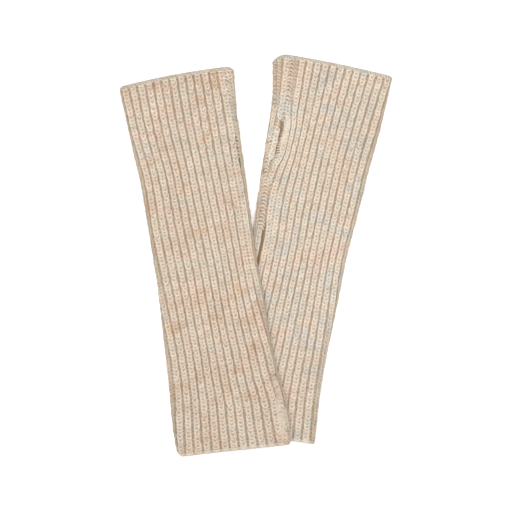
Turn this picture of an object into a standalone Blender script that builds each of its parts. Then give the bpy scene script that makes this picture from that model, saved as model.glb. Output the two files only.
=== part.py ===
"""A pair of long fingerless gloves in chunky rib knit, laid flat, the left glove over the right one.

Each glove is one ribbed panel wrapped into a tube and linked along one side. The seam is left open for
a short way, as a slit for the thumb. Units are metres, +Z is up, and the pair rests on z = 0.
"""

import math

import bmesh
import bpy
import numpy as np

MM = 0.001

# Knit
RIBS = 29                       # ribs round one glove, counted from the seam
WALL = 3.0 * MM                 # thickness of the cloth at the crest of a rib
GROOVE = 1.4 * MM               # how far the grooves lie below the crests
UNDER_WALL = 2.4 * MM           # thickness of the layer that rests on the surface
TUBE_HEIGHT = 6.8 * MM          # both layers and the slot between them
FOLD_RADIUS = TUBE_HEIGHT / 2
PIECE_GAP = 0.3 * MM            # between pieces that are sewn together

# Lengths along a glove, from the hand end
LENGTH = 312 * MM
BAND_HEIGHT = 2.8 * MM          # bound-off edge
EDGE_HEIGHT = 2.0 * MM          # cast-on edge
SLIT_START = 55 * MM            # thumb slit
SLIT_END = 83 * MM
STATION_STEP = 13 * MM

# Seam, a chain sunk in the groove where the panel's two edges meet
SEAM_HALF = 1.0 * MM            # half its width
SEAM_SUNK = 0.7 * MM            # its top, below the crests
SEAM_DEPTH = 1.7 * MM           # its underside, below the crests
PANEL_EDGE = SEAM_HALF + PIECE_GAP
PANEL_EDGE_SUNK = 0.8           # share of the groove's depth at the panel's edges

# Draping of the left glove over the right one
DRAPE_CLEARANCE = 0.6 * MM
DRAPE_REACH = 22 * MM           # how far from the lower glove the upper one leaves the surface
DRAPE_SHOULDER = 2.5 * MM       # how far the full height is kept beyond the lower glove's edge

# Outline of each glove in mm, from the hand end (share 0) to the wrist (share 1): where the left and the
# right fold lie, which rib lies on each fold, and how far the middle rib lies right of even spacing, as a
# share of the way between the folds.
COLUMNS = ("share", "left_x", "left_y", "right_x", "right_y", "left_rib", "right_rib", "crowding")
LEFT_ROWS = (
    (0.0000, -113.3, 140.4, -18.6, 157.8, -13.4, 1.5, 0.01),
    (0.1250, -104.7, 100.2, -14.9, 117.7, -13.6, 0.9, -0.01),
    (0.2500, -96.2, 62.2, -10.0, 78.9, -13.95, 0.8, -0.005),
    (0.3750, -89.4, 24.2, -5.0, 40.1, -13.75, 0.55, 0.015),
    (0.5000, -83.4, -13.9, 0.2, 1.2, -13.9, 0.6, 0.04),
    (0.6250, -78.2, -51.9, 7.2, -37.5, -14.4, 0.25, 0.02),
    (0.7500, -74.3, -90.0, 14.0, -76.4, -15.0, -0.55, -0.005),
    (0.8125, -72.3, -109.0, 18.3, -95.8, -15.0, -0.65, -0.005),
    (0.8750, -70.3, -128.0, 24.3, -115.1, -14.8, -0.75, -0.005),
    (0.9375, -67.9, -147.0, 27.9, -134.5, -14.5, -0.8, -0.005),
    (1.0000, -64.9, -166.4, 28.7, -155.8, -14.2, -1.3, -0.01),
)
RIGHT_ROWS = (
    (0.0000, 14.9, 168.9, 113.3, 149.0, -2.5, 13.3, 0.0),
    (0.1250, 13.3, 129.8, 104.0, 109.4, -2.4, 13.7, -0.015),
    (0.2500, 7.5, 91.5, 94.0, 71.5, -2.2, 13.9, -0.015),
    (0.3750, 1.7, 53.3, 84.4, 33.6, -0.9, 13.95, 0.015),
    (0.5000, -4.3, 15.0, 74.7, -4.4, -1.0, 14.0, 0.02),
    (0.6250, -13.7, -23.2, 67.0, -42.2, -1.3, 13.5, 0.0),
    (0.7500, -24.1, -61.5, 59.4, -80.1, -1.2, 13.1, -0.005),
    (0.8750, -33.6, -99.8, 53.1, -118.1, -1.3, 13.0, -0.01),
    (1.0000, -41.7, -139.3, 49.0, -156.4, -1.4, 12.85, -0.015),
)
MIDDLE = (0.113, 0.562)         # middle of the pair's box in the rows' own x and y, in mm
# Radius of each rounded corner of the outline, in mm
CORNERS = ("hand_left", "hand_right", "wrist_left", "wrist_right")
LEFT_CORNERS = (4.5, 6.0, 6.5, 2.0)
RIGHT_CORNERS = (12.0, 3.0, 5.0, 2.5)
CORNER_FADE = 3.0               # a corner's pull dies out over this many radii

# The right glove's thumb slit is pulled over the ribs to its right
PUCKER = 4.5 * MM
PUCKER_REACH = 21 * MM          # along the glove, to each side of the slit's middle
PUCKER_RIBS = (5.0, 1.4)        # how many ribs it dies out over, to the right and to the left

# Section of the bound-off and cast-on edges: share of the height, and depth below the crests in mm
EDGE_OUTSIDE = ((0.0, 1.1), (0.3, 0.3), (1.0, 0.3))
EDGE_INSIDE = ((1.0, 2.8), (0.1, 2.8))

# Shape of a rib: share of its width, and share of the groove's depth
RIB_POINTS = ((0.0, 1.0), (0.28, 0.12), (0.72, 0.12))
RIB_PLAIN = ((0.0, 1.0), (0.5, 0.0))
RIB_MARGIN = 0.6                # ribs past the folds that are shaped too
# The ribs' relief dies out between these upward parts of the way that the cloth faces
RELIEF_FROM, RELIEF_FULL = -0.9, -0.3

# Linear colours of the oatmeal wool
RIB_COLOUR = (0.70, 0.59, 0.47)
SEAM_COLOUR = (0.58, 0.47, 0.36)
EDGE_COLOUR = (0.74, 0.65, 0.54)
WOOL_ROUGHNESS = 0.95


def table(rows, corners):
    """The outline's columns as arrays in metres, with the corner radii beside them."""
    columns = dict(zip(COLUMNS, np.array(rows).T))
    for name, middle in zip(COLUMNS[1:5], MIDDLE * 2):
        columns[name] = (columns[name] - middle) * MM
    columns.update({name: radius * MM for name, radius in zip(CORNERS, corners)})
    return columns


def eased(glove, column, share):
    """A column of the outline at any share, on a smooth curve through its rows."""
    x, y = glove["share"], glove[column]
    slope = np.gradient(y, x)
    i = np.clip(np.searchsorted(x, share, side="right") - 1, 0, len(x) - 2)
    width = x[i + 1] - x[i]
    u = (share - x[i]) / width
    return (
        y[i] * (1 + 2 * u) * (1 - u) ** 2
        + slope[i] * width * u * (1 - u) ** 2
        + y[i + 1] * u ** 2 * (3 - 2 * u)
        + slope[i + 1] * width * u ** 2 * (u - 1)
    )


def smooth_step(value):
    """0 below 0, 1 above 1, and an even slope between."""
    value = np.clip(value, 0.0, 1.0)
    return value * value * (3 - 2 * value)


def flattened_tube(half_width, turn):
    """Skeleton offset and outward normal at a turn from 0 (left fold) over the top, 1 (right fold), to 2."""
    straight = half_width - FOLD_RADIUS
    quarter = math.pi / 2 * FOLD_RADIUS
    side = np.where(turn > 1, -1.0, 1.0)
    reach = np.where(turn > 1, 2 - turn, turn) * (2 * quarter + 2 * straight)
    start = np.clip(reach / FOLD_RADIUS, 0, math.pi / 2)
    end = np.clip((reach - quarter - 2 * straight) / FOLD_RADIUS, 0, math.pi / 2)
    offset = np.clip(reach - quarter, 0, 2 * straight) - straight
    across = np.sin(end) - np.cos(start)
    up = np.sin(start) * np.cos(end)
    length = np.hypot(across, up)
    return offset, across / length, side * up / length


def corner_pull(glove, end, distance_in, edge_left, edge_right):
    """How far a rounded corner draws the cloth back from one end of the glove."""
    pull = 0.0
    for side, edge in (("left", edge_left), ("right", edge_right)):
        radius = glove[end + "_" + side]
        short = np.clip(radius - edge, 0, radius)
        fade = np.clip(1 - distance_in / (CORNER_FADE * radius), 0, 1) ** 2
        pull = pull + (radius - np.sqrt(radius ** 2 - short ** 2)) * fade
    return pull


def drape_height(lower, x, y):
    """How high the upper glove's underside lies, from how far each point is from the lower glove."""
    edge_x = np.interp(-y, -lower["left_y"], lower["left_x"])
    inside_left = x - edge_x
    run_x = lower["right_x"][-1] - lower["left_x"][-1]
    run_y = lower["right_y"][-1] - lower["left_y"][-1]
    inside_wrist = (
        (y - lower["left_y"][-1]) * run_x - (x - lower["left_x"][-1]) * run_y
    ) / math.hypot(run_x, run_y)
    span = DRAPE_REACH - DRAPE_SHOULDER
    rise = smooth_step((inside_left + DRAPE_REACH) / span) * smooth_step((inside_wrist + DRAPE_REACH) / span)
    return (TUBE_HEIGHT + DRAPE_CLEARANCE) * rise


def on_glove(glove, along, rib, beside, inward, relief):
    """Points of a glove, from the distance along it and the place round it, in ribs from the seam.

    Beside moves a point on round the glove, and inward sinks it below the crests. Relief sinks it too,
    but only where the cloth faces up or sideways, so that the underside rests flat.
    """
    share = np.clip(along / LENGTH, 0, 1)
    left = np.stack([eased(glove, "left_x", share), eased(glove, "left_y", share)])
    right = np.stack([eased(glove, "right_x", share), eased(glove, "right_y", share)])
    run = right - left
    width = np.hypot(run[0], run[1])
    direction = run / width
    lengthwise = np.stack([direction[1], -direction[0]])
    left_rib = eased(glove, "left_rib", share)
    right_rib = eased(glove, "right_rib", share)
    past = np.mod(rib - left_rib, RIBS)
    over = right_rib - left_rib
    place = np.clip(past / over, 0, 1)
    place = place + 4 * eased(glove, "crowding", share) * place * (1 - place)
    turn = np.where(past <= over, place, 1 + (past - over) / (RIBS - over))
    half_round = (math.pi - 2) * FOLD_RADIUS + width
    turn = np.mod(turn + beside / half_round, 2)
    offset, normal_across, normal_up = flattened_tube(width / 2, turn)
    depth = inward + relief * smooth_step((normal_up - RELIEF_FROM) / (RELIEF_FULL - RELIEF_FROM))
    across = offset + normal_across * (FOLD_RADIUS - depth)
    right_ribs, left_ribs = PUCKER_RIBS
    pulled = np.clip(1 - rib / right_ribs, 0, 1) ** 2 + np.clip(1 - (RIBS - rib) / left_ribs, 0, 1) ** 2
    from_slit = along - (SLIT_START + SLIT_END) / 2
    across = across + glove["pucker"] * pulled * np.exp(-((from_slit / PUCKER_REACH) ** 4))
    edge_left = width / 2 + across
    edge_right = width / 2 - across
    drawn = corner_pull(glove, "hand", along, edge_left, edge_right) - corner_pull(
        glove, "wrist", LENGTH - along, edge_left, edge_right
    )
    middle = (left + right) / 2 + direction * across + lengthwise * drawn
    height = FOLD_RADIUS + normal_up * (FOLD_RADIUS - depth)
    if glove["lies_on"] is not None:
        height = height + drape_height(glove["lies_on"], middle[0], middle[1])
    return np.stack([middle[0], middle[1], height], axis=-1)


def stations(start, end):
    """Even stations from start to end, with the ends of the thumb slit among them."""
    marks = [start] + [m for m in (SLIT_START, SLIT_END) if start < m < end] + [end]
    found = [start]
    for low, high in zip(marks, marks[1:]):
        count = max(1, round((high - low) / STATION_STEP))
        found.extend(low + (high - low) * k / count for k in range(1, count + 1))
    return np.array(found)


def rib_marks(glove):
    """Round positions and groove shares of a panel: shaped ribs where they show, plain ones beneath."""
    first = glove["left_rib"].min() - RIB_MARGIN
    last = glove["right_rib"].max() + RIB_MARGIN
    marks = []
    for rib in range(RIBS):
        shows = any(first <= rib + k * RIBS + 0.5 <= last for k in (-1, 0))
        marks.extend((rib + place, sunk) for place, sunk in (RIB_POINTS if shows else RIB_PLAIN))
    marks[0] = (0, PANEL_EDGE_SUNK)
    marks.append((RIBS, PANEL_EDGE_SUNK))
    return np.array(marks).T


def off_seam(count):
    """How far each of this many places round a panel is moved, so that its edges stand off the seam."""
    beside = np.zeros(count)
    beside[0], beside[-1] = PANEL_EDGE, -PANEL_EDGE
    return beside


def inner_marks(glove):
    """Round positions of the plain inside, closer together in the glove that is draped."""
    each = 1 if glove["lies_on"] is None else 2
    return np.linspace(0, RIBS, RIBS * each + 1)


def grid_faces(rows, columns, first, close_columns=False):
    """Quads between neighbouring rows and columns of a grid of points."""
    faces = []
    for row in range(rows - 1):
        for column in range(columns if close_columns else columns - 1):
            beside = (column + 1) % columns
            a, b = first + row * columns, first + (row + 1) * columns
            faces.append((a + column, a + beside, b + beside, b + column))
    return faces


def zip_faces(first_ids, first_marks, second_ids, second_marks):
    """Triangles between two lines of points that have different spacings."""
    faces = []
    i = j = 0
    while i < len(first_ids) - 1 or j < len(second_ids) - 1:
        forward = j == len(second_ids) - 1 or (
            i < len(first_ids) - 1 and first_marks[i + 1] <= second_marks[j + 1]
        )
        if forward:
            faces.append((first_ids[i], first_ids[i + 1], second_ids[j]))
            i += 1
        else:
            faces.append((first_ids[i], second_ids[j + 1], second_ids[j]))
            j += 1
    return faces


def wool(name, colour):
    """A matt wool in one colour."""
    material = bpy.data.materials.new(name)
    material.use_nodes = True
    shader = material.node_tree.nodes["Principled BSDF"]
    shader.inputs["Base Color"].default_value = (*colour, 1.0)
    shader.inputs["Roughness"].default_value = WOOL_ROUGHNESS
    shader.inputs["Metallic"].default_value = 0.0
    return material


def knit_object(name, points, faces, colour):
    """One closed piece of knit, its faces turned outward and shaded smooth."""
    mesh = bpy.data.meshes.new(name)
    mesh.from_pydata([tuple(p) for p in points], [], faces)
    shape = bmesh.new()
    shape.from_mesh(mesh)
    bmesh.ops.recalc_face_normals(shape, faces=shape.faces)
    shape.to_mesh(mesh)
    shape.free()
    mesh.shade_smooth()
    mesh.set_sharp_from_angle(angle=math.radians(50))
    mesh.materials.append(wool(name + "_wool", colour))
    piece = bpy.data.objects.new(name, mesh)
    bpy.context.scene.collection.objects.link(piece)
    return piece


def make_panel(name, glove):
    """The ribbed panel: ribs raised on the outside, a plain inside, open along the seam."""
    along = stations(BAND_HEIGHT + PIECE_GAP, LENGTH - EDGE_HEIGHT - PIECE_GAP)
    rib, sunk = rib_marks(glove)
    inner = inner_marks(glove)
    rows, wide, narrow = len(along), len(rib), len(inner)
    along = along[:, None]
    outside = on_glove(glove, along, rib, off_seam(wide), 0, GROOVE * sunk)
    inside = on_glove(glove, along, inner, off_seam(narrow), UNDER_WALL, WALL - UNDER_WALL)
    points = np.concatenate([outside.reshape(-1, 3), inside.reshape(-1, 3)])
    base = rows * wide
    faces = grid_faces(rows, wide, 0) + grid_faces(rows, narrow, base)
    for row in (0, rows - 1):
        outer_ids = [row * wide + k for k in range(wide)]
        inner_ids = [base + row * narrow + k for k in range(narrow)]
        faces += zip_faces(outer_ids, rib, inner_ids, inner)
    for outer_end, inner_end in ((0, 0), (wide - 1, narrow - 1)):
        for row in range(rows - 1):
            a = row * wide + outer_end
            b = base + row * narrow + inner_end
            faces.append((a, a + wide, b + narrow, b))
    return knit_object(name, points, faces, RIB_COLOUR)


def make_edge(name, glove, start, height, toward_hand, ribbed):
    """A narrow finished edge, a closed ring round the whole glove, plain or with the panel's ribs."""
    rib, sunk = rib_marks(glove)[:, :-1]
    share, depth = np.array(EDGE_OUTSIDE + EDGE_INSIDE).T[:, :, None]
    inside = np.arange(len(share))[:, None] >= len(EDGE_OUTSIDE)
    along = start + height * (share if toward_hand else 1 - share)
    inward = np.where(inside, UNDER_WALL, 0)
    relief = depth * MM - inward + np.where(inside, 0, GROOVE * sunk * ribbed)
    points = on_glove(glove, along, rib, 0, inward, relief)
    rows, columns = relief.shape
    faces = grid_faces(rows, columns, 0, close_columns=True)
    last = (rows - 1) * columns
    for k in range(columns):
        beside = (k + 1) % columns
        faces.append((last + k, last + beside, beside, k))
    return knit_object(name, points.reshape(-1, 3), faces, EDGE_COLOUR)


def make_seam(name, glove, start, end):
    """A stretch of the linked side seam: a low chain lying between the panel's two edges."""
    along = stations(start, end)
    beside = np.array([-0.6, -1.0, 0.0, 1.0, 0.6, 0.0]) * SEAM_HALF
    inward = np.array([1.0, 0.0, 0.0, 0.0, 1.0, 1.0]) * SEAM_DEPTH
    relief = np.array([0.0, 1.5, 1.0, 1.5, 0.0, 0.0]) * SEAM_SUNK
    points = on_glove(glove, along[:, None], 0, beside, inward, relief)
    count = len(beside)
    faces = grid_faces(len(along), count, 0, close_columns=True)
    faces.append(tuple(range(count)))
    faces.append(tuple(range((len(along) - 1) * count, len(along) * count)))
    return knit_object(name, points.reshape(-1, 3), faces, SEAM_COLOUR)


def make_glove(side, glove):
    """The five pieces of one glove."""
    hand_start = BAND_HEIGHT + PIECE_GAP
    wrist_end = LENGTH - EDGE_HEIGHT - PIECE_GAP
    make_panel(side + "_panel", glove)
    make_seam(side + "_seam_hand", glove, hand_start, SLIT_START)
    make_seam(side + "_seam_wrist", glove, SLIT_END, wrist_end)
    make_edge(side + "_hand_band", glove, 0.0, BAND_HEIGHT, toward_hand=True, ribbed=False)
    make_edge(side + "_wrist_edge", glove, LENGTH - EDGE_HEIGHT, EDGE_HEIGHT, toward_hand=False, ribbed=True)


def main():
    for old in list(bpy.data.objects):
        bpy.data.objects.remove(old, do_unlink=True)
    right = table(RIGHT_ROWS, RIGHT_CORNERS)
    right.update(lies_on=None, pucker=PUCKER)
    left = table(LEFT_ROWS, LEFT_CORNERS)
    left.update(lies_on=right, pucker=0.0)
    make_glove("right", right)
    make_glove("left", left)


main()
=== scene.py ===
"""Looks for a pair of fingerless rib-knit wool gloves, laid flat and crossed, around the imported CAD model.
Metres, Z up, the floor at z = 0. The left glove lies on the right one where they cross."""
import math

import bpy
import numpy as np
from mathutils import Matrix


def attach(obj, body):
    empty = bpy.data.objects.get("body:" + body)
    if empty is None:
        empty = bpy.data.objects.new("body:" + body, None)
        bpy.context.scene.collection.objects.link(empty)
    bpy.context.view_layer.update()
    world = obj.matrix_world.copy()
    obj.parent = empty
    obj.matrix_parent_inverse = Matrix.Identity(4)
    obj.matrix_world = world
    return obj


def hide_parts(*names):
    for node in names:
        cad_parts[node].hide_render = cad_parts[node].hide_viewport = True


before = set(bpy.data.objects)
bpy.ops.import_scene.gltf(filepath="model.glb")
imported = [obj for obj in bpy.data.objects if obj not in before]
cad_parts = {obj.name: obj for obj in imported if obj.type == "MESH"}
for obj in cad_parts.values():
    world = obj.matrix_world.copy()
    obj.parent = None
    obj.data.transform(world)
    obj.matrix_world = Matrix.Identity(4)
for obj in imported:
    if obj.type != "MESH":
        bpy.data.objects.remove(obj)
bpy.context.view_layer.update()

# The two knitted panels, as the ground that the stitches stand on. Each glove is one panel of 1x1 rib in
# chunky melange wool, knitted from the wrist up and linked into a flat tube along one side, with a slit
# left in that seam for the thumb. The ground shows only as the dark of the grooves and the stitch holes.
MM = 0.001
RIBS = 29
TUBE_HEIGHT = 6.8 * MM
FOLD_RADIUS = TUBE_HEIGHT / 2
LENGTH = 312 * MM
PANEL_START, PANEL_END = 3.1 * MM, 309.7 * MM
PANEL_EDGE = 1.3 * MM
SLIT_START, SLIT_END = 55 * MM, 83 * MM
ROW_PITCH = 2.9 * MM
DRAPE_CLEARANCE, DRAPE_REACH, DRAPE_SHOULDER = 0.6 * MM, 22 * MM, 2.5 * MM
CORNER_FADE = 3.0
BOW_REACH = 25 * MM
PUCKER_REACH, PUCKER_RIBS = 21 * MM, (5.0, 1.4)
SLIT_LEFT_PULL, SLIT_LIP_RIBS = 0.15, 0.4
RELIEF_FROM, RELIEF_FULL = -0.9, -0.3
GROUND_SUNK, GROUND_DIP, GROUND_RELIEF = 0.85 * MM, 0.5 * MM, 0.55 * MM
INSIDE, INSIDE_RELIEF = 2.4 * MM, 0.6 * MM
# Each row of a glove's table: its share of the length from the hand end, where its left and its right edge
# are in millimetres, the rib counts on those edges, and how far the ribs between are moved to the right.
COLUMNS = ("share", "left_x", "left_y", "right_x", "right_y", "left_rib", "right_rib", "crowding")
# what centres the pair on the origin, in the tables' millimetres
MIDDLE = (0.113, 0.562)
CORNERS = ("hand_left", "hand_right", "wrist_left", "wrist_right")
RIGHT_ROWS = (
    (0.0000, 14.9, 168.9, 113.3, 149.0, -2.5, 13.3, 0.0),
    (0.1250, 13.3, 129.8, 104.0, 109.4, -2.4, 13.7, -0.025),
    (0.2500, 7.5, 91.5, 94.0, 71.5, -2.2, 13.9, -0.03),
    (0.3750, 1.7, 53.3, 84.4, 33.6, -0.9, 13.95, 0.005),
    (0.5000, -4.3, 15.0, 74.7, -4.4, -1.0, 14.0, 0.01),
    (0.6250, -13.7, -23.2, 67.0, -42.2, -1.3, 13.5, -0.012),
    (0.7500, -24.1, -61.5, 59.4, -80.1, -1.2, 13.1, -0.016),
    (0.8750, -33.6, -99.8, 53.1, -118.1, -1.3, 13.0, -0.025),
    (1.0000, -41.7, -142.8, 49.0, -155.5, -1.4, 12.85, -0.03),
)
LEFT_ROWS = (
    (0.0000, -113.3, 140.4, -18.6, 157.8, -13.4, 1.5, 0.01),
    (0.1250, -104.7, 100.2, -14.9, 117.7, -13.6, 0.9, -0.01),
    (0.2500, -96.2, 62.2, -10.0, 78.9, -13.95, 0.8, -0.005),
    (0.3750, -89.4, 24.2, -5.0, 40.1, -13.75, 0.55, 0.015),
    (0.5000, -83.4, -13.9, 0.2, 1.2, -13.9, 0.6, 0.04),
    (0.6250, -78.2, -51.9, 7.2, -37.5, -14.4, 0.25, 0.02),
    (0.7500, -74.3, -90.0, 14.0, -76.4, -15.0, -0.55, -0.005),
    (0.8125, -72.3, -109.0, 18.3, -95.8, -15.0, -0.65, -0.005),
    (0.8750, -70.3, -128.0, 24.3, -115.1, -14.8, -0.75, -0.005),
    (0.9375, -67.9, -147.0, 27.9, -134.5, -14.5, -0.8, -0.005),
    (1.0000, -64.9, -166.2, 28.7, -154.5, -14.2, -1.3, -0.01),
)


def table(rows, corners, hand_bow, pucker, lies_on):
    """One glove as named columns: its two edges (in metres), its edge ribs and its corner radii."""
    columns = dict(zip(COLUMNS, np.array(rows).T))
    for name, middle in zip(COLUMNS[1:5], MIDDLE * 2):
        columns[name] = (columns[name] - middle) * MM
    columns.update({name: radius * MM for name, radius in zip(CORNERS, corners)})
    columns.update(hand_bow=hand_bow, pucker=pucker, lies_on=lies_on)
    return columns


RIGHT = table(RIGHT_ROWS, (12.0, 3.0, 5.0, 2.5), 1.3 * MM, 4.5 * MM, None)
LEFT = table(LEFT_ROWS, (3.5, 6.0, 6.5, 2.0), 1.8 * MM, 0.0, RIGHT)
GLOVES = {"right": RIGHT, "left": LEFT}


def eased(glove, column, share):
    """A column at a share of the length: a cubic through the table's values, with the slopes between
    their neighbours, h00*y0 + h10*w*m0 + h01*y1 + h11*w*m1."""
    x, y = glove["share"], glove[column]
    slope = np.gradient(y, x)
    i = np.clip(np.searchsorted(x, share, side="right") - 1, 0, len(x) - 2)
    width = x[i + 1] - x[i]
    u = (share - x[i]) / width
    start = y[i] * (1 + 2 * u) * (1 - u) ** 2 + slope[i] * width * u * (1 - u) ** 2
    return start + y[i + 1] * u**2 * (3 - 2 * u) + slope[i + 1] * width * u**2 * (u - 1)


def smooth_step(value):
    """0 to 1 with level ends: 3v^2 - 2v^3."""
    value = np.clip(value, 0.0, 1.0)
    return value * value * (3 - 2 * value)


def flattened_tube(half_width, turn):
    """The section of a tube pressed flat: two straights joined by half circles. turn goes from the left
    fold (0) over the top to the right fold (1) and back underneath (2). Returns the half circle's centre
    across, and the outward normal across and up, eased so that it turns evenly round the folds."""
    straight = half_width - FOLD_RADIUS
    quarter = math.pi / 2 * FOLD_RADIUS
    side = np.where(turn > 1, -1.0, 1.0)
    reach = np.where(turn > 1, 2 - turn, turn) * (2 * quarter + 2 * straight)
    start = np.clip(reach / FOLD_RADIUS, 0, math.pi / 2)
    end = np.clip((reach - quarter - 2 * straight) / FOLD_RADIUS, 0, math.pi / 2)
    offset = np.clip(reach - quarter, 0, 2 * straight) - straight
    across = np.sin(end) - np.cos(start)
    up = np.sin(start) * np.cos(end)
    length = np.hypot(across, up)
    return offset, across / length, side * up / length


def corner_pull(glove, end, distance_in, edge_left, edge_right):
    """How far a corner draws the cloth in from an end: r - sqrt(r^2 - s^2) within r of a side, fading
    with the square of the distance into the glove."""
    pull = 0.0
    for side, edge in (("left", edge_left), ("right", edge_right)):
        radius = glove[end + "_" + side]
        short = np.clip(radius - edge, 0, radius)
        fade = np.clip(1 - distance_in / (CORNER_FADE * radius), 0, 1) ** 2
        pull = pull + (radius - np.sqrt(radius**2 - short**2)) * fade
    return pull


def drape_height(lower, x, y):
    """How high the upper glove lies at x, y: the lower glove's thickness, reached by a smooth step from
    the lower glove's left edge and another from its wrist end."""
    inside_left = x - np.interp(-y, -lower["left_y"], lower["left_x"])
    run_x = lower["right_x"][-1] - lower["left_x"][-1]
    run_y = lower["right_y"][-1] - lower["left_y"][-1]
    from_x, from_y = x - lower["left_x"][-1], y - lower["left_y"][-1]
    inside_wrist = (from_y * run_x - from_x * run_y) / math.hypot(run_x, run_y)
    span = DRAPE_REACH - DRAPE_SHOULDER
    rise = smooth_step((inside_left + DRAPE_REACH) / span)
    rise = rise * smooth_step((inside_wrist + DRAPE_REACH) / span)
    return (TUBE_HEIGHT + DRAPE_CLEARANCE) * rise


def on_glove(glove, along, rib, beside=0.0, inward=0.0, relief=0.0):
    """The point of a glove at a distance along it from the hand end and a rib count round it from the
    seam: the flattened tube's section between the two edges, sunk by inward, and by relief where it
    faces up, moved round by beside, puckered beside the slit, drawn in at the corners, bowed out a little
    at the hand end and draped."""
    share = np.clip(along / LENGTH, 0, 1)
    left = np.stack([eased(glove, "left_x", share), eased(glove, "left_y", share)])
    right = np.stack([eased(glove, "right_x", share), eased(glove, "right_y", share)])
    run = right - left
    width = np.hypot(run[0], run[1])
    direction = run / width
    lengthwise = np.stack([direction[1], -direction[0]])
    left_rib = eased(glove, "left_rib", share)
    over = eased(glove, "right_rib", share) - left_rib
    past = np.mod(rib - left_rib, RIBS)
    place = np.clip(past / over, 0, 1)
    place = place + 4 * eased(glove, "crowding", share) * place * (1 - place)
    turn = np.where(past <= over, place, 1 + (past - over) / (RIBS - over))
    turn = np.mod(turn + beside / ((math.pi - 2) * FOLD_RADIUS + width), 2)
    offset, normal_across, normal_up = flattened_tube(width / 2, turn)
    depth = inward + relief * smooth_step((normal_up - RELIEF_FROM) / (RELIEF_FULL - RELIEF_FROM))
    across = offset + normal_across * (FOLD_RADIUS - depth)
    round_rib = np.mod(rib, RIBS)
    right_ribs, left_ribs = PUCKER_RIBS
    lip = SLIT_LEFT_PULL + (1 - SLIT_LEFT_PULL) * smooth_step(round_rib / SLIT_LIP_RIBS)
    pulled = lip * np.clip(1 - round_rib / right_ribs, 0, 1) ** 2
    pulled = pulled + SLIT_LEFT_PULL * np.clip(1 - (RIBS - round_rib) / left_ribs, 0, 1) ** 2
    from_slit = along - (SLIT_START + SLIT_END) / 2
    across = across + glove["pucker"] * pulled * np.exp(-((from_slit / PUCKER_REACH) ** 4))
    edge_left, edge_right = width / 2 + across, width / 2 - across
    drawn = corner_pull(glove, "hand", along, edge_left, edge_right)
    drawn = drawn - corner_pull(glove, "wrist", LENGTH - along, edge_left, edge_right)
    bow = 4 * edge_left * edge_right / width**2 * smooth_step(1 - along / BOW_REACH)
    drawn = drawn - glove["hand_bow"] * bow
    middle = (left + right) / 2 + direction * across + lengthwise * drawn
    height = FOLD_RADIUS + normal_up * (FOLD_RADIUS - depth)
    if glove["lies_on"] is not None:
        height = height + drape_height(glove["lies_on"], middle[0], middle[1])
    return np.stack([middle[0], middle[1], np.maximum(height, 0.0)], axis=-1)


def groove(rib):
    """1 at the bottom of a groove between two ribs (a whole rib count), 0 on a crest."""
    return (0.5 + 0.5 * np.cos(2 * math.pi * rib)) ** 2


# Where the cloth is opened by a fold or a pull, a purl column lies flat and shows as a stack of small
# arcs. Each is how far it opens, its bars' slant and half width in ribs, and its way down the glove as
# (mm along, rib count).
OPEN_COLUMNS = {
    "right": (
        (1.0, 0.0, 0.46, (57, -0.64), (63, -0.84), (69, -1.06), (77, -1.15), (89, -0.84), (101, -0.22),
         (112, 0.28), (122, 0.46), (146, 0.54)),
        (0.9, 0.0, 0.2, (2, -1.97), (26, -1.92), (39, -1.75), (44, -1.68)),
        (0.5, 0.6, 0.32, (2, -1.43), (22, -1.33), (46, -1.08)),
        (0.9, 0.0, 0.4, (3, 0.17), (34, 0.2), (50, 0.05)),
        (0.4, 0.3, 0.26, (3, 0.8), (34, 0.84), (50, 0.6)),
        (0.8, 0.0, 0.4, (112, 1.95), (166, 2.05)),
        (0.8, 0.3, 0.4, (140, -1.0), (216, -1.0)),
    ),
    "left": (
        (0.75, 0.8, 0.38, (4, 0.05), (30, 0.02), (40, 0.15), (76, 0.1)),
        (0.85, 0.6, 0.4, (79, -0.9), (172, -0.87)),
        (0.95, 0.0, 0.44, (256, -1.5), (280, -1.8), (292, -1.95), (309, -2.0)),
        (0.95, 0.0, 0.4, (257.45, -1.52), (280, -1.8), (292, -1.95), (309, -2.0)),
    ),
}
OPENS_OVER, OPEN_AT_ENDS, SHOWS_FROM = 8 * MM, 0.6, 0.45
# All grooves are opened a little too, by random values down each.
LOOSE_MEAN, LOOSE_SPREAD, LOOSE_MOST, LOOSE_STEPS = 0.08, 0.22, 0.6, 32
LOOSE_GROOVES = {
    side: np.clip(
        np.random.default_rng(seed).normal(LOOSE_MEAN, LOOSE_SPREAD, (LOOSE_STEPS, RIBS)), 0, LOOSE_MOST)
    for side, seed in (("right", 5), ("left", 6))
}


def ribs_apart(rib, other):
    """How many ribs one rib count is past another, the shorter way round the glove."""
    return np.mod(rib - other + RIBS / 2, RIBS) - RIBS / 2


def from_column(column, along, rib):
    """How many ribs a place is from an open column, and how far that column opens at this length: its
    most, eased in and out at its two ends."""
    most, slant, half, *way = column
    way_along, way_rib = np.array(way).T
    apart = np.abs(ribs_apart(rib, np.interp(along / MM, way_along, way_rib)))
    ends = (along - way_along[0] * MM) / OPENS_OVER, (way_along[-1] * MM - along) / OPENS_OVER
    return apart, most * smooth_step(ends[0] + OPEN_AT_ENDS) * smooth_step(ends[1] + OPEN_AT_ENDS)


def column_opening(side, along, rib):
    """How far a place is opened by the open columns, 0 to 1, falling to none half a rib from each."""
    amount = np.zeros(np.shape(rib))
    for column in OPEN_COLUMNS[side]:
        apart, most = from_column(column, along, rib)
        amount = np.maximum(amount, most * np.clip(1 - 2 * apart, 0, 1) ** 0.5)
    return amount


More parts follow.
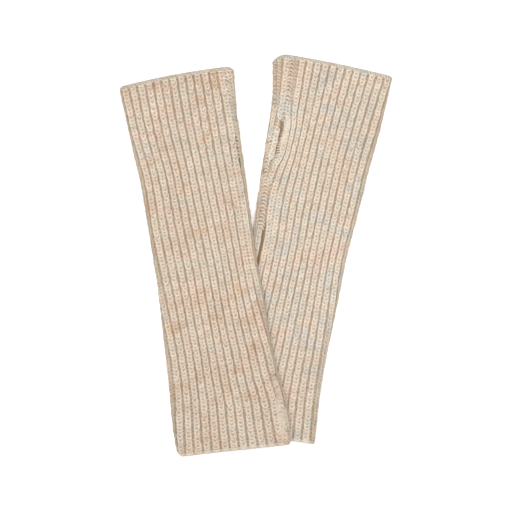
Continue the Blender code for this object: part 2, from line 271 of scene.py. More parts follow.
def opened(side, along, rib):
    """How far a groove is opened, 0 to 1: a little at random, or as far as an open column there is."""
    loose = LOOSE_GROOVES[side]
    # just short of the last value, so that there is always a next one
    row = np.clip(along / LENGTH * (len(loose) - 1), 0, len(loose) - 1.001)
    near, column = row.astype(int), np.mod(np.round(rib), RIBS).astype(int)
    amount = loose[near, column] * (near + 1 - row) + loose[near + 1, column] * (row - near)
    amount = amount * np.clip(1 - 2 * np.abs(rib - np.round(rib)), 0, 1) ** 0.5
    return np.maximum(amount, column_opening(side, along, rib))


# Beside the crossing two grooves of the lower glove are pulled apart and show dark, as ways down the glove
# like those of the columns. Their ribs stand aside from them. Their ground is deeper and darkened by a
# painted shadow of the upper glove.
PARTED_GROOVES = {
    "right": (((138, 0.95), (151, 0.98), (180, 0.93)), ((125, -0.66), (137, -0.6), (154, -0.45))),
    "left": (),
}
PARTED_OVER, PARTED_DEPTH = 6 * MM, 1.0 * MM
PARTED_BY, PARTED_REACH, PARTED_HALF = 0.13, 1.4, 0.14


def parted(side, along, rib):
    """What the parted grooves do to a place: which way its rib stands aside, full to 0.4 ribs away and
    none from 1.4, and how much of the groove's depth it has, full to 0.14 ribs away and none from 0.28."""
    aside, deep = np.zeros(np.shape(rib)), np.zeros(np.shape(rib))
    for way in PARTED_GROOVES[side]:
        way_along, way_rib = np.array(way).T
        apart = ribs_apart(rib, np.interp(along / MM, way_along, way_rib))
        ends = smooth_step((along - way_along[0] * MM) / PARTED_OVER)
        ends = ends * smooth_step((way_along[-1] * MM - along) / PARTED_OVER)
        aside = aside + np.sign(apart) * ends * np.clip(PARTED_REACH - np.abs(apart), 0, 1)
        deep = np.maximum(deep, ends * smooth_step(2 - np.abs(apart) / PARTED_HALF))
    return aside, deep


def clear_of_columns(side, along, rib, margin):
    """Whether a place is further than a margin of ribs from every column open enough to show."""
    clear = np.ones(np.shape(rib), bool)
    for column in OPEN_COLUMNS[side]:
        apart, most = from_column(column, along, rib)
        clear &= (apart > margin) | (most < SHOWS_FROM)
    return clear


def grid(rows, columns, ring_rows=False, ring_columns=False):
    """A grid's quads, and each corner's place on it from 0 to 1, column first. A ring joins its last
    row or column to its first."""
    quad_rows, quad_columns = rows - (not ring_rows), columns - (not ring_columns)
    i, j = np.meshgrid(np.arange(quad_rows), np.arange(quad_columns), indexing="ij")
    i, j = i.ravel()[:, None] + [0, 0, 1, 1], j.ravel()[:, None] + [0, 1, 1, 0]
    place = np.stack([j / quad_columns, i / quad_rows], axis=-1)
    return (i % rows) * columns + j % columns, place


def knit_piece(name, points, faces, shade, material, slot):
    """A smooth mesh from points and lists of (faces, corner places), with its yarn attribute: the tone,
    the dye and how sunk each point is. It rides on the body. Its slot is not used."""
    corners = np.concatenate([face.ravel() for face, place in faces])
    places = np.concatenate([place.reshape(-1, 2) for face, place in faces])
    sizes = np.concatenate([np.full(len(face), face.shape[1]) for face, place in faces])
    mesh = bpy.data.meshes.new(name)
    mesh.vertices.add(len(points))
    mesh.vertices.foreach_set("co", points.astype(np.float32).ravel())
    mesh.loops.add(len(corners))
    mesh.loops.foreach_set("vertex_index", corners.astype(np.int32))
    mesh.polygons.add(len(sizes))
    mesh.polygons.foreach_set("loop_start", (np.cumsum(sizes) - sizes).astype(np.int32))
    mesh.update(calc_edges=True)
    mesh.uv_layers.new(name="OFBake").uv.foreach_set("vector", places.astype(np.float32).ravel())
    # the yarn attribute's third value, how sunk a point is, sets the painted shade in its material
    colour = np.concatenate([shade, np.ones((len(shade), 1))], axis=1)
    attribute = mesh.attributes.new("yarn", "FLOAT_COLOR", "POINT")
    attribute.data.foreach_set("color", colour.astype(np.float32).ravel())
    mesh.shade_smooth()
    mesh.materials.append(material)
    piece = bpy.data.objects.new(name, mesh)
    bpy.context.scene.collection.objects.link(piece)
    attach(piece, "root")
    return piece


def linear(code):
    """An sRGB hex colour as linear RGBA."""
    values = [int(code[i : i + 2], 16) / 255 for i in (0, 2, 4)]
    return [v / 12.92 if v <= 0.04045 else ((v + 0.055) / 1.055) ** 2.4 for v in values] + [1.0]


def add(tree, kind, settings=None, links=None):
    """Adds a node. A setting is an input by its name or number, or else the node's own property."""
    node = tree.nodes.new(kind)
    for name, value in (settings or {}).items():
        if isinstance(name, int) or name in node.inputs:
            node.inputs[name].default_value = value
        else:
            setattr(node, name, value)
    for name, source in (links or {}).items():
        tree.links.new(source, node.inputs[name])
    return node


def set_inputs(node, values):
    """Sets constant values on a node's own inputs, by their names."""
    for name, value in values.items():
        node.inputs[name].default_value = value


# Woollen-spun melange yarn: fleece dyed in several shades and carded together before spinning, so the
# colour drifts between tan, cream and a pale grey. Wool is matt, with a soft sheen from its loose fibre
# ends. Its shades run as a ramp, picked from by the yarn attribute and by a noise 9 mm broad.
DYES = (
    (0.00, "E9CFB4"), (0.07, "ECD6BE"), (0.20, "EFDBCA"), (0.40, "F0DFCD"),
    (0.64, "F1E3D3"), (0.80, "EEE3D2"), (0.92, "E9E1D2"), (1.00, "E8E0D6"),
)
SHADE_PATCH = 9 * MM
# A wool fibre is some 0.03 mm thick, too fine to show here. Its noise is drawn at 1 mm, coarser than real.
FIBRE, FIBRE_HEIGHT = 1.0 * MM, 0.25 * MM


def wool(name, hollow, sheen, strength):
    """The yarn's dye shade from the attribute and a broad noise, toned by stitch, browned by hollow where it
    is sunk, a painted shade, with a fibre noise in colour and bump."""
    material = bpy.data.materials.new(name)
    material.use_nodes = True
    tree = material.node_tree
    shader = tree.nodes["Principled BSDF"]
    yarn = add(tree, "ShaderNodeAttribute", {"attribute_name": "yarn"})
    parts = add(tree, "ShaderNodeSeparateColor", links={"Color": yarn.outputs["Color"]})
    place = add(tree, "ShaderNodeTexCoord")
    drift = add(tree, "ShaderNodeTexNoise", {"Scale": 1 / SHADE_PATCH, "Detail": 2.0},
                {"Vector": place.outputs["Object"]})
    moved = add(tree, "ShaderNodeMapRange",
                {"From Min": 0.25, "From Max": 0.75, "To Min": -0.3, "To Max": 0.3},
                {"Value": drift.outputs["Fac"]})
    dye = add(tree, "ShaderNodeMath", {"operation": "ADD", "use_clamp": True},
              {0: parts.outputs["Green"], 1: moved.outputs["Result"]})
    ramp = add(tree, "ShaderNodeValToRGB", links={"Fac": dye.outputs["Value"]})
    stops = ramp.color_ramp.elements
    stops[0].position, stops[0].color = DYES[0][0], linear(DYES[0][1])
    stops[1].position, stops[1].color = DYES[-1][0], linear(DYES[-1][1])
    for position, code in DYES[1:-1]:
        stops.new(position).color = linear(code)
    fibre = add(tree, "ShaderNodeTexNoise", {"Scale": 1 / FIBRE, "Detail": 3.0, "Roughness": 0.65},
                {"Vector": place.outputs["Object"]})
    flecks = add(tree, "ShaderNodeMapRange",
                 {"From Min": 0.3, "From Max": 0.7, "To Min": 0.74, "To Max": 1.22},
                 {"Value": fibre.outputs["Fac"]})
    tone = add(tree, "ShaderNodeMapRange", {"To Min": 0.89, "To Max": 1.01}, {"Value": parts.outputs["Red"]})
    toned = add(tree, "ShaderNodeMath", {"operation": "MULTIPLY"},
                {0: flecks.outputs["Result"], 1: tone.outputs["Result"]})
    bright = add(tree, "ShaderNodeVectorMath", {"operation": "SCALE"},
                 {0: ramp.outputs["Color"], "Scale": toned.outputs["Value"]})
    # painted shade: the colour is multiplied towards hollow by the attribute's blue, how sunk the point is
    sunk = add(tree, "ShaderNodeMix", {"data_type": "RGBA", "blend_type": "MULTIPLY", 7: linear(hollow)},
               {0: parts.outputs["Blue"], 6: bright.outputs["Vector"]})
    tree.links.new(sunk.outputs[2], shader.inputs["Base Color"])
    bump = add(tree, "ShaderNodeBump", {"Strength": strength, "Distance": FIBRE_HEIGHT},
               {"Height": fibre.outputs["Fac"]})
    tree.links.new(bump.outputs["Normal"], shader.inputs["Normal"])
    set_inputs(shader, {
        "Roughness": 0.92, "Specular IOR Level": 0.25, "IOR": 1.54,
        "Sheen Weight": sheen, "Sheen Roughness": 0.55, "Sheen Tint": linear("F4E8DA"),
    })
    return material


ground_wool = wool("carded_wool_ground", "A58C6D", 0.1, 0.5)
rib_wool = wool("carded_wool_rib_stitches", "CCC5BB", 0.3, 0.6)


OWN_SHADE = 0.35
# how much lower the tone gets towards the wrist, and the width and start of its smooth step
WRIST_DARKER, WRIST_DARKER_OVER, WRIST_DARKER_START = 0.4, 0.4, 1.2
DYE_FROM, DYE_RANGE, DYE_PALER = 0.14, 0.72, 0.6


def melange(rows, seed, paler):
    """Tone and dye for every rib and row of a glove: random values, for the dye mostly smoothed over the
    ribs and rows beside, ranked to lie evenly from 0 to 1, shifted for a paler glove, and with the tone
    lower towards the wrist, by a smooth step from 0.48 to 0.88 of the length."""
    rng = np.random.default_rng(seed)
    tone, dye = rng.normal(size=(2, rows, RIBS))
    beside = [(down, across) for down in (-1, 0, 1) for across in (-1, 0, 1)]
    dye = OWN_SHADE * dye + sum(np.roll(dye, shift, axis=(0, 1)) for shift in beside) / 3
    ranked = [np.argsort(np.argsort(values.ravel())).reshape(rows, RIBS) / (rows * RIBS - 1)
              for values in (tone, dye)]
    darker = WRIST_DARKER * smooth_step(np.arange(rows)[:, None] / rows / WRIST_DARKER_OVER - WRIST_DARKER_START)
    return ranked[0] + paler - darker, DYE_FROM + DYE_RANGE * ranked[1] + DYE_PALER * paler


ROWS = 107
# how much painted shade the folds get at most, and how many ribs from a fold it reaches
FOLD_SHADE, FOLD_RIBS = 0.95, 1.05
MELANGE = {"right": melange(ROWS + 4, 11, 0.32), "left": melange(ROWS + 4, 23, -0.04)}


def shades(side, along, rib, sunk):
    """The yarn attribute at each place: tone and dye picked from the glove's melange by row and rib, and
    sunk raised on the folds, as painted shade on their sides."""
    tone, dye = MELANGE[side]
    share = np.clip(along / LENGTH, 0, 1)
    apart = [np.abs(ribs_apart(rib, eased(GLOVES[side], edge, share)))
             for edge in ("left_rib", "right_rib")]
    # painted shade on the folds, fading over the ribs beside them
    fold_shade = FOLD_SHADE * np.clip(1 - np.minimum(*apart) / FOLD_RIBS, 0, 1)
    sunk = sunk + fold_shade * (1 - sunk)
    row = np.clip((along / ROW_PITCH).astype(int), 0, len(dye) - 1)
    column = np.mod(np.floor(rib), RIBS).astype(int)
    sunk = np.broadcast_to(sunk, row.shape)
    return np.stack([tone[row, column], dye[row, column], sunk], axis=-1).reshape(-1, 3)


GROUND_COLUMNS, GROUND_ROWS = RIBS * 6 + 1, ROWS
EDGE_TAPER = 0.6
OPEN_SHALLOWER, OPEN_DIP = 0.7, 0.6
# how much painted shade the ground gets: on a crest, gained in a groove, gained in a parted groove, and
# inside
SUNK_CREST, SUNK_GROOVE, PARTED_SHADOW, SUNK_INSIDE = 0.5, 0.27, 0.23, 0.77
# the wall has most of the bake's picture, and the rims at its two ends a strip each
WALL_PLACE, RIM_PLACE, RIM_APART = 0.96, (0.97, 0.97, 0.98, 0.98), 0.015
for side, glove in GLOVES.items():
    rib = np.linspace(0, RIBS, GROUND_COLUMNS)
    edge = np.clip(1 - rib / EDGE_TAPER, 0, 1) - np.clip(1 - (RIBS - rib) / EDGE_TAPER, 0, 1)
    rib = np.concatenate([rib, rib[::-1]])
    edge = np.concatenate([edge, edge[::-1]]) * PANEL_EDGE
    outside = np.arange(len(rib)) < GROUND_COLUMNS
    along = np.linspace(PANEL_START, PANEL_END, GROUND_ROWS)
    along, ribs = np.meshgrid(along, rib, indexing="ij")
    dip = groove(ribs) * (1 - OPEN_SHALLOWER * opened(side, along, ribs))
    dip = np.maximum(dip, OPEN_DIP * column_opening(side, along, ribs))
    gap = parted(side, along, ribs)[1]
    dip = np.maximum(dip, gap)
    inward = np.where(outside, GROUND_SUNK + GROUND_DIP * dip + PARTED_DEPTH * gap, INSIDE)
    relief = np.where(outside, GROUND_RELIEF * dip, INSIDE_RELIEF)
    # the last rib count is the first one again, so it stays just short of it
    points = on_glove(glove, along, np.minimum(ribs, RIBS - 1e-6), edge, inward, relief).reshape(-1, 3)
    wall, wall_place = grid(GROUND_ROWS, len(rib), ring_columns=True)
    outer = np.arange(GROUND_COLUMNS - 1)
    inner = len(rib) - 1 - outer
    rim = np.stack([outer, outer + 1, inner - 1, inner], axis=1)
    rim_place = np.stack([outer, outer + 1, outer + 1, outer], axis=1) / GROUND_COLUMNS
    rim_place = np.stack([rim_place, np.broadcast_to(RIM_PLACE, rim_place.shape)], axis=-1)
    last = (GROUND_ROWS - 1) * len(rib)
    faces = [
        (wall[:, ::-1], wall_place[:, ::-1] * [1.0, WALL_PLACE]),
        (rim, rim_place),
        ((rim + last)[:, ::-1], rim_place[:, ::-1] + [0.0, RIM_APART]),
    ]
    # painted shade on the ground, deeper in the grooves and deepest in the parted grooves
    sunk = np.where(outside, SUNK_CREST + SUNK_GROOVE * dip + PARTED_SHADOW * gap, SUNK_INSIDE)
    knit_piece(side + "_ground", points, faces, shades(side, along, ribs, sunk),
                               ground_wool, "wool_rib")
    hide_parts(side + "_panel")

# The rib stitches. On the face of each rib the loops stand as a column of rounded Vs that point to the
# wrist, each coming out through the one below it and going behind the one above, with a small dark hole
# between its legs. The underside has the same stitches pressed flat, drawn with fewer faces.
STITCH_LENGTH = 4.6 * MM
YARN_RADIUS = 0.73 * MM
HAND_CLEAR, WRIST_CLEAR = 3.3 * MM, 2.1 * MM
# How much stitches are off, as standard deviations: the size and the thickness as shares, the place across
# in ribs, the place along and the depth in metres, and the slant in metres along for a rib across.
SIZE_OFF, THICKNESS_OFF, ACROSS_OFF = 0.075, 0.1, 0.018
ALONG_OFF, DEPTH_OFF, SLANT_OFF = 0.22 * MM, 0.12 * MM, 1.1 * MM
# how far above its path a second point lies, for the outward direction
OUTWARD_STEP = 0.3 * MM
# each length of yarn has a cell of the bake's picture to itself, with this margin round it
CELL_MARGIN = 0.04


def yarn(side, rib, along, path, radius, sides, seed, sunk=0.0, clear=HAND_CLEAR):
    """A short length of yarn at each stitch: a tube round a path of (ribs across, metres along, metres
    inward) points, with its rings square to the path and its radius along it. Each stitch is a little
    off its place and size, and stays clear of the glove's ends. The ring's point is
    centre + r*(cos(a)*beside + sin(a)*outward)."""
    glove = GLOVES[side]
    rng = np.random.default_rng(seed)
    count, steps = len(rib), path.shape[-2]
    larger, aside, further, deeper, thicker, slanted = rng.normal(size=(6, count, 1))
    size = 1 + SIZE_OFF * larger
    across = rib[:, None] + path[..., 0] * size + ACROSS_OFF * aside
    run = along[:, None] + path[..., 1] * size + ALONG_OFF * further
    run = np.clip(run + SLANT_OFF * slanted * path[..., 0], clear, LENGTH - WRIST_CLEAR)
    inward = path[..., 2] + DEPTH_OFF * deeper
    centre = on_glove(glove, run, across, 0.0, inward)
    outward = on_glove(glove, run, across, 0.0, inward - OUTWARD_STEP) - centre
    ahead = np.gradient(centre, axis=1)
    beside = np.cross(outward, ahead)
    beside = beside / np.linalg.norm(beside, axis=-1, keepdims=True)
    outward = np.cross(ahead, beside)
    outward = outward / np.linalg.norm(outward, axis=-1, keepdims=True)
    turn = np.linspace(0, 2 * math.pi, sides, endpoint=False)[:, None]
    ring = np.cos(turn) * beside[:, :, None] + np.sin(turn) * outward[:, :, None]
    thick = (radius * (1 + THICKNESS_OFF * thicker))[:, :, None, None]
    points = (centre[:, :, None] + thick * ring).reshape(-1, 3)
    points[:, 2] = np.maximum(points[:, 2], 0.0)
    quads, place = grid(steps, sides, ring_columns=True)
    first = (np.arange(count) * steps * sides)[:, None, None]
    quads = (quads[None] + first).reshape(-1, 4)
    cells = max(1, math.ceil(math.sqrt(count / 2)))
    cell = np.stack([np.arange(count) % cells, np.arange(count) // cells], axis=-1)[:, None, None]
    scale = np.array([cells, math.ceil(count / cells)])
    place = CELL_MARGIN + (1 - 2 * CELL_MARGIN) * place[None, :, :, ::-1]
    place = ((place + cell) / scale).reshape(-1, 4, 2)
    start = np.arange(sides)[::-1] + first[:, 0]
    end = np.arange(sides) + (steps - 1) * sides + first[:, 0]
    caps = np.concatenate([start, end])
    cap_place = np.broadcast_to((cell[:, 0] + CELL_MARGIN / 2) / scale, (count, sides, 2))
    faces = [(quads, place), (caps, np.concatenate([cap_place, cap_place]))]
    shade = shades(side, np.repeat(along, steps * sides), np.repeat(rib, steps * sides),
                   np.repeat(np.broadcast_to(sunk, (count, steps)), sides))
    return points, faces, shade


def joined(*parts):
    """Several sets of points, faces and shades as one."""
    counts = np.cumsum([0] + [len(points) for points, faces, shade in parts])
    faces = [(face + first, place) for (points, parts_faces, shade), first in zip(parts, counts)
             for face, place in parts_faces]
    return np.concatenate([p[0] for p in parts]), faces, np.concatenate([p[2] for p in parts])


def on_top(glove, along, rib, margin):
    """Whether a place is on a glove's upper side, or within a margin of ribs round its folds."""
    left = eased(glove, "left_rib", along / LENGTH)
    over = eased(glove, "right_rib", along / LENGTH) - left
    return np.mod(rib - left + margin, RIBS) <= over + 2 * margin


LEG_CURVE, LEG_DROP, LEG_THINNER = 1.7, 0.7 * MM, 0.45


def loop_path(steps, spread, length, inward):
    """A stitch's rounded V, tip to the wrist, for u from -1 to 1: spread*sin(pi*u/2) across,
    -length*|u|^1.7 along, and 0.7 mm * u^4 deeper as the legs go behind the next loop. Its yarn is
    1 - 0.45*|u|^6 of its thickness."""
    u = np.linspace(-1, 1, steps)
    across = spread * np.sin(math.pi / 2 * u)
    path = np.stack([across, -length * np.abs(u) ** LEG_CURVE, inward + LEG_DROP * u**4], axis=-1)
    return path, 1 - LEG_THINNER * np.abs(u) ** 6


FIRST_ROW = 3.9 * MM
FOLD_MARGIN, STITCH_MARGIN = 0.6, 0.36
STITCH_SPREAD, STITCH_DEPTH, LEG_ENDS_SHADE = 0.315, 0.6 * MM, 0.25
stitch_rows = FIRST_ROW + ROW_PITCH * np.arange(ROWS)
all_rows, all_ribs = (a.ravel() for a in np.meshgrid(stitch_rows, np.arange(RIBS) + 0.5, indexing="ij"))
for side, glove in GLOVES.items():
    top = on_top(glove, all_rows, all_ribs, FOLD_MARGIN)
    clear = clear_of_columns(side, all_rows, all_ribs, STITCH_MARGIN)
    for name, chosen, steps, sides, seed in (
            ("ribs_upper", top & clear, 9, 5, 3), ("ribs_under", ~top & clear, 6, 4, 4)):
        path, width = loop_path(steps, STITCH_SPREAD, STITCH_LENGTH, STITCH_DEPTH)
        # painted shade: each leg darkens towards its ends, where it goes behind the next loop
        sunk = LEG_ENDS_SHADE * np.abs(np.linspace(-1, 1, steps)) ** 3
        at = all_ribs[chosen] + PARTED_BY * parted(side, all_rows[chosen], all_ribs[chosen])[0]
        made = yarn(side, at, all_rows[chosen], path, YARN_RADIUS * width, sides, seed, sunk=sunk)
        knit_piece(side + "_" + name, *made, rib_wool, "wool_rib")

# The purl bars in the grooves. Between two ribs the same yarn shows as short bars across the groove, in
# the shade of the ribs beside it. In the open columns they lie flat as arcs that bow to the hand end.

# Of each pair, the first is the value in a closed groove and the second what it gains in an open one: the
# half width in ribs (of the arcs, as a share), the bow, depth and thickness in millimetres, and how sunk,
# as painted shade.
BAR_HALF, BAR_BOW, BAR_DEPTH, BAR_RADIUS = (0.24, 0.16), (0.5, 1.3), (1.75, -1.0), (0.56, 0.14)
ARC_HALF, ARC_BOW, ARC_DEPTH, ARC_SUNK = (0.7, 0.3), (0.4, 1.6), (1.45, -0.8), (0.7, -0.6)
END_DEPTH = (-0.3, 0.7)
BAR_SUNK, BAR_PALER, ARC_ENDS_SUNK = 0.95, 0.9, 0.3
ARC_RADIUS, ARC_SLANT = 0.74 * MM, 1.5 * MM
BAR_THINNER, BARS_ABOVE = 0.3, 1.4 * MM
BAR_MARGIN, GAP_SHOWS_FROM = 0.55, 0.5


def with_gain(pair, amount):
    """A value that grows with an amount: value + gain*amount."""
    value, gain = pair
    return value + gain * amount


def bar_path(u, half, bow, slant, depth, wide):
    """A bar across its groove, for u from -1 to 1: half*u across, bow*u^2 + slant*u along, and its depth
    with END_DEPTH*u^2, so that the ends rise in a closed groove and sink in an open one."""
    depth = depth + with_gain(END_DEPTH, wide) * MM * u * u
    return np.stack([half * u, bow * u * u + slant * u, depth], axis=-1)


for side, glove in GLOVES.items():
    groove_rows, grooves = (
        a.ravel() for a in np.meshgrid(stitch_rows - BARS_ABOVE, np.arange(1.0, RIBS), indexing="ij"))
    clear = clear_of_columns(side, groove_rows, grooves, BAR_MARGIN)
    clear &= parted(side, groove_rows, grooves)[1] < GAP_SHOWS_FROM
    groove_rows, grooves = groove_rows[clear], grooves[clear]
    u = np.linspace(-1, 1, 5)
    wide = opened(side, groove_rows, grooves)[:, None]
    path = bar_path(u, with_gain(BAR_HALF, wide), with_gain(BAR_BOW, wide) * MM, 0.0,
                    with_gain(BAR_DEPTH, wide) * MM, wide)
    radius = with_gain(BAR_RADIUS, wide) * MM * (1 - BAR_THINNER * u**4)
    # painted shade: a bar in a closed groove is darkened almost fully, and less as the groove opens
    bars = [yarn(side, grooves, groove_rows, path, radius, 4, 7, sunk=BAR_SUNK * (1 - BAR_PALER * wide))]
    u = np.linspace(-1, 1, 7)
    for seed, column in enumerate(OPEN_COLUMNS[side]):
        most, slant, half, *way = column
        way_along, way_rib = np.array(way).T
        rows = np.arange(way_along[0] * MM, way_along[-1] * MM, ROW_PITCH)
        wide = from_column(column, rows, 0.0)[1][:, None]
        path = bar_path(u, half * with_gain(ARC_HALF, wide), with_gain(ARC_BOW, wide) * (1 - slant) * MM,
                        ARC_SLANT * slant, with_gain(ARC_DEPTH, wide) * MM, wide)
        # painted shade: an arc is darkened less as its column opens, and more towards its ends
        bars.append(yarn(side, np.interp(rows / MM, way_along, way_rib), rows, path,
                         ARC_RADIUS * (1 - BAR_THINNER * u**4), 5, 50 + seed,
                         sunk=with_gain(ARC_SUNK, wide) + ARC_ENDS_SUNK * u**4))
    knit_piece(side + "_purl_bars", *joined(*bars), rib_wool, "wool_rib")

# The hand band. The panel is cast off round the hand end in a chain that lies along the edge like a
# slightly twisted cord, greyer than the ribs because only its rounded outer side shows.
edge_wool = wool("carded_wool_edges", "BDBDB8", 0.35, 0.6)
BAND_COLUMNS, BAND_SIDES = RIBS * 12, 12
BAND_MIDDLE, BAND_REACH, BAND_DEPTH, BAND_RISE, BAND_SUNK = 1.9 * MM, 1.75 * MM, 1.6 * MM, 1.1 * MM, 0.9
LINKS = RIBS * 3
LINK_HALF, LINK_RUN, LINK_DEPTH, LINK_DIP, LINK_RADIUS = 0.2, 1.6 * MM, 0.75 * MM, 0.8 * MM, 0.66 * MM
LINK_THINNER, LINK_SUNK, LINK_CLEAR = 0.4, (0.35, 0.45), 0.5 * MM


def end_ring():
    """The places on a cord round a glove's end: rib counts round the glove and turns round the cord."""
    turn = np.linspace(0, 2 * math.pi, BAND_SIDES, endpoint=False)
    return np.meshgrid(np.linspace(0, RIBS, BAND_COLUMNS, endpoint=False), turn, indexing="ij")


for side, glove in GLOVES.items():
    ribs, turn = end_ring()
    along = BAND_MIDDLE - BAND_REACH * np.cos(turn)
    inward = BAND_DEPTH - BAND_RISE * np.sin(turn)
    points = on_glove(glove, along, ribs, 0.0, inward).reshape(-1, 3)
    wall, place = grid(BAND_COLUMNS, BAND_SIDES, ring_rows=True, ring_columns=True)
    core = points, [(wall[:, ::-1], place[:, ::-1])], shades(side, along, ribs, BAND_SUNK)
    u = np.linspace(-1, 1, 7)
    path = np.stack([LINK_HALF * u, LINK_RUN * u, LINK_DEPTH + LINK_DIP * u * u], axis=-1)
    # painted shade: each link of the chain darkens towards its ends, where it dips under its neighbours
    links = yarn(side, np.arange(LINKS) * RIBS / LINKS, np.full(LINKS, BAND_MIDDLE), path,
                 LINK_RADIUS * (1 - LINK_THINNER * u**4), 6, 13,
                 sunk=with_gain(LINK_SUNK, u * u), clear=LINK_CLEAR)
    knit_piece(side + "_bound_hand_edge", *joined(core, links), edge_wool, "wool_edge")
    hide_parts(side + "_hand_band")

# The wrist edge. The ribs begin straight from the cast-on row, so the edge is soft and rounded under the
# last row of stitches, a little lower at each groove.

# Of each pair, the first is the value on a crest and the second what it gains in a groove, in millimetres.
EDGE_MIDDLE, EDGE_REACH, EDGE_DEPTH, EDGE_RISE = (1.6, 0.15), (1.5, -0.1), (1.5, 0.1), (1.1, -0.1)
EDGE_RELIEF, EDGE_SUNK = 0.25 * MM, (0.15, 0.45)
for side, glove in GLOVES.items():
    ribs, turn = end_ring()
    dip = groove(ribs)
    along = LENGTH - with_gain(EDGE_MIDDLE, dip) * MM + with_gain(EDGE_REACH, dip) * MM * np.cos(turn)
    inward = with_gain(EDGE_DEPTH, dip) * MM - with_gain(EDGE_RISE, dip) * MM * np.sin(turn)
    points = on_glove(glove, along, ribs, 0.0, inward, EDGE_RELIEF * dip).reshape(-1, 3)
    wall, place = grid(BAND_COLUMNS, BAND_SIDES, ring_rows=True, ring_columns=True)
    # painted shade: the edge is darker in each groove
    shade = shades(side, along, ribs, with_gain(EDGE_SUNK, dip))
    knit_piece(side + "_cast_on_edge", points, [(wall, place)], shade,
                                    edge_wool, "wool_edge")
    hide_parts(side + "_wrist_edge")

# The side seam. The panel's two selvedges are linked stitch by stitch with the same yarn, which leaves a
# narrow sunken tape with a chain of small loops on it, above and below the open thumb slit.
seam_wool = wool("carded_wool_seams", "BFB0A0", 0.2, 0.6)
SEAM_SIDES, SEAM_STEP = 10, 2.5 * MM
SEAM_HALF, SEAM_DEPTH, SEAM_RISE, SEAM_SUNK = 1.15 * MM, 1.9 * MM, 0.5 * MM, 0.6
CHAIN_FROM, CHAIN_TO, CHAIN_SUNK = 2.0 * MM, 1.0 * MM, 0.5
CHAIN_SPREAD, CHAIN_LENGTH, CHAIN_DEPTH, CHAIN_RADIUS = 0.10, 3.4 * MM, 1.35 * MM, 0.42 * MM
for side, glove in GLOVES.items():
    for name, start, end in (("seam_hand", PANEL_START, SLIT_START), ("seam_wrist", SLIT_END, PANEL_END)):
        rows = 2 + int((end - start) / SEAM_STEP)
        turn = np.linspace(0, 2 * math.pi, SEAM_SIDES, endpoint=False)
        along, turn = np.meshgrid(np.linspace(start, end, rows), turn, indexing="ij")
        points = on_glove(glove, along, np.zeros_like(along), SEAM_HALF * np.cos(turn),
                          SEAM_DEPTH - SEAM_RISE * np.sin(turn), 0.0).reshape(-1, 3)
        wall, place = grid(rows, SEAM_SIDES, ring_columns=True)
        round_tape = np.arange(SEAM_SIDES)
        caps = np.stack([round_tape[::-1], round_tape + (rows - 1) * SEAM_SIDES])
        wall_faces = [(wall, place), (caps, np.full((2, SEAM_SIDES, 2), 0.5))]
        # painted shade: the sunken tape is darkened, and the chain of loops on it a little less
        tape = points, wall_faces, shades(side, along, np.zeros_like(along), SEAM_SUNK)
        loops = np.arange(start + CHAIN_FROM, end - CHAIN_TO, ROW_PITCH)
        path, width = loop_path(7, CHAIN_SPREAD, CHAIN_LENGTH, CHAIN_DEPTH)
        made = yarn(side, np.zeros(len(loops)), loops, path, CHAIN_RADIUS * width, 4, 9, sunk=CHAIN_SUNK)
        knit_piece(side + "_linked_" + name, *joined(tape, made),
                                             seam_wool, "wool_seam")
        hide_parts(side + "_" + name)

# The thumb slit's edges. Right of the right glove's slit the cloth bulges over it in a smooth roll, and the
# left selvedge turns in. Both hold a sunken row of yarn between them, browner because no light comes
# through the tube. The left glove's edges meet on its fold, under the same slanted rows as its seam.
slit_wool = wool("carded_wool_slit_edges", "BEAA94", 0.3, 0.6)
BETWEEN_RADIUS, SELVEDGE_RADIUS = 0.75 * MM, 0.62 * MM
ROLL_RADIUS, ROLL_END_RADIUS = 0.85 * MM, 0.68 * MM
# the lips darken by painted shade towards the ends that turn into the slit
LIP_THINNER, LIP_ENDS_SUNK = 0.4, 0.4
u = np.linspace(-1, 1, 7)
towards_left, towards_right = np.clip(-u, 0, 1), np.clip(u, 0, 1)
lip_width = 1 - LIP_THINNER * u**6
for side, glove in GLOVES.items():
    # the sunken row that both edges hold between them
    rows = np.arange(50 * MM, 90 * MM, 1.4 * MM)
    path = np.stack([0.34 * u, 0.3 * MM * u, 2.7 * MM + 0.2 * MM * u * u], axis=-1)
    lips = [yarn(side, np.full(len(rows), RIBS - 0.12), rows, path, BETWEEN_RADIUS, 6, 33, sunk=1.0)]
    if side == "right":
        # the smooth roll right of the slit, which bulges most in its middle
        rows = np.arange(50 * MM, 71 * MM, 1.75 * MM)
        bulge = smooth_step((rows - 46 * MM) / (8 * MM)) * smooth_step((73 * MM - rows) / (9 * MM))
        rib, half = 0.26 + 0.1 * bulge, 0.12 + 0.14 * bulge
        path = np.stack(np.broadcast_arrays(
            half[:, None] * u,
            (0.5 * u * u - 0.5 * u) * MM,
            1.05 * MM + 1.0 * MM * towards_left**3,
        ), axis=-1)
        lips.append(yarn(side, rib, rows, path, ROLL_RADIUS * lip_width, 6, 31,
                         sunk=0.05 + LIP_ENDS_SUNK * towards_left**2))
        # the roll's thin lower end
        rows = np.arange(69 * MM, 94 * MM, 2.2 * MM)
        path = np.stack([0.15 * u, -0.9 * MM * u, 0.85 * MM + 0.9 * MM * towards_left**3], axis=-1)
        lips.append(yarn(side, np.full(len(rows), 0.17), rows, path, ROLL_END_RADIUS * lip_width, 6, 34,
                         sunk=0.08 + LIP_ENDS_SUNK * towards_left))
        # the left selvedge, which stands back from the slit where it is open
        rows = np.arange(48 * MM, 95 * MM, 2.6 * MM)
        gap = smooth_step((rows - 52 * MM) / (6 * MM)) * smooth_step((92 * MM - rows) / (16 * MM))
        path = np.stack([0.16 * u, 1.0 * MM * u, 0.9 * MM + 0.9 * MM * towards_right**3], axis=-1)
        lips.append(yarn(side, RIBS - 0.4 - 0.24 * gap, rows, path, SELVEDGE_RADIUS * lip_width, 6, 32,
                         sunk=0.08 + LIP_ENDS_SUNK * towards_right))
    knit_piece(side + "_slit_edges", *joined(*lips), slit_wool, "wool_rib")

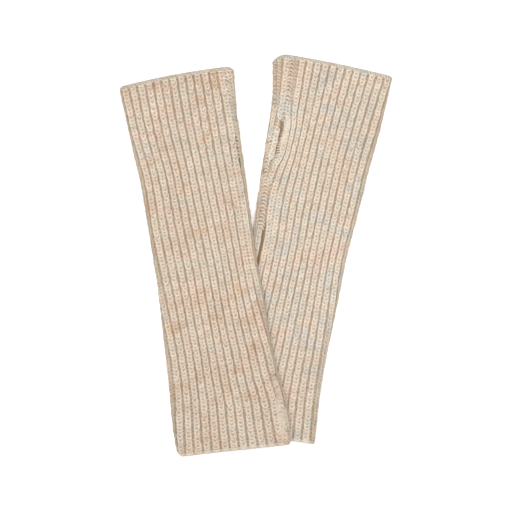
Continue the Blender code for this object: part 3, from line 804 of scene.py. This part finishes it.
# The floor, the light and the camera. The gloves lie on a plain pale floor under broad soft light from
# above, seen from straight above as in the photograph.
CAMERA_HEIGHT, SENSOR_WIDTH = 1.2, 36
FRAME_WIDTH = 512 * 0.83 * MM
FLOOR_HALF, FLOOR_BELOW = 3, 0.0002
LAMPS = (
    ("key", (-0.3, 0.35, 1.6), 1.6, 15.4),
    ("fill", (0.3, -0.25, 1.6), 1.6, 11.3),
)
floor_mesh = bpy.data.meshes.new("floor")
floor_corners = [
    (FLOOR_HALF * x, FLOOR_HALF * y, -FLOOR_BELOW) for x, y in ((-1, -1), (1, -1), (1, 1), (-1, 1))]
floor_mesh.from_pydata(floor_corners, [], [(0, 1, 2, 3)])
floor = bpy.data.objects.new("floor", floor_mesh)
bpy.context.scene.collection.objects.link(floor)
paint = bpy.data.materials.new("white_paint_floor")
paint.use_nodes = True
set_inputs(paint.node_tree.nodes["Principled BSDF"], {
    "Base Color": linear("FAFAFA"), "Roughness": 0.9,
    "Emission Color": linear("FFFFFF"), "Emission Strength": 0.28,
})
floor_mesh.materials.append(paint)

world = bpy.data.worlds.new("soft_white_room")
world.use_nodes = True
set_inputs(world.node_tree.nodes["Background"], {"Color": linear("FFFFFF"), "Strength": 0.37})
bpy.context.scene.world = world
for name, place, size, power in LAMPS:
    lamp = bpy.data.lights.new(name, "AREA")
    lamp.shape, lamp.size, lamp.energy = "DISK", size, power
    light = bpy.data.objects.new(name, lamp)
    light.location = place
    across = math.hypot(place[0], place[1])
    light.rotation_euler = (math.atan2(across, place[2]), 0, math.atan2(place[0], -place[1]))
    bpy.context.scene.collection.objects.link(light)

lens = bpy.data.cameras.new("camera")
lens.sensor_width = SENSOR_WIDTH
lens.lens = SENSOR_WIDTH * CAMERA_HEIGHT / FRAME_WIDTH
camera = bpy.data.objects.new("camera", lens)
camera.location = (0, 0, CAMERA_HEIGHT)
bpy.context.scene.collection.objects.link(camera)
bpy.context.scene.camera = camera
bpy.context.scene.view_settings.view_transform = "Standard"
